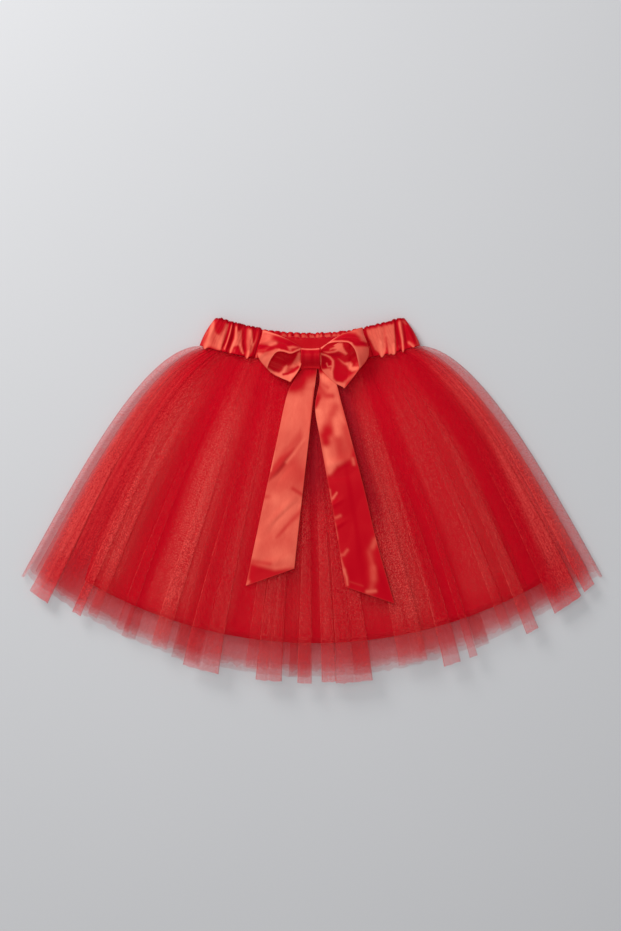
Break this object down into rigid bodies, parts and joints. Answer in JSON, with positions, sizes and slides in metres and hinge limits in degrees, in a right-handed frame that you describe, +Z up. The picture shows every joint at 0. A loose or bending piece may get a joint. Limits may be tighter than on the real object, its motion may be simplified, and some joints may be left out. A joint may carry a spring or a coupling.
{
  "type": "child's tulle tutu skirt with bow, laid flat",
  "caption": "Child's red tulle tutu skirt laid flat: gathered net layers over a lining, a satin elastic waistband and a ribbon bow with two long tails.",
  "frame": {"origin": "on the surface the skirt rests on, under the middle of its bounding box", "axes": "+X across the skirt, to the right of someone looking down at its front; +Y up the skirt, from the hem to the waistband; +Z up from the surface, out of the skirt's front"},
  "size_m": [0.5472, 0.3466, 0.0285],
  "materials": {
    "net": "fine red tulle net, soft and matt",
    "lining_cloth": "plain red woven lining with a low sheen",
    "satin": "red satin with a soft salmon sheen"
  },
  "bodies": {
    "root": {"tulle_outer": "net", "tulle_inner": "net", "lining": "lining_cloth", "waistband_front": "satin", "waistband_back": "satin", "bow_tail_left": "satin", "bow_tail_right": "satin", "bow_loop_left": "satin", "bow_loop_right": "satin", "bow_knot": "satin"}
  },
  "joints": []
}
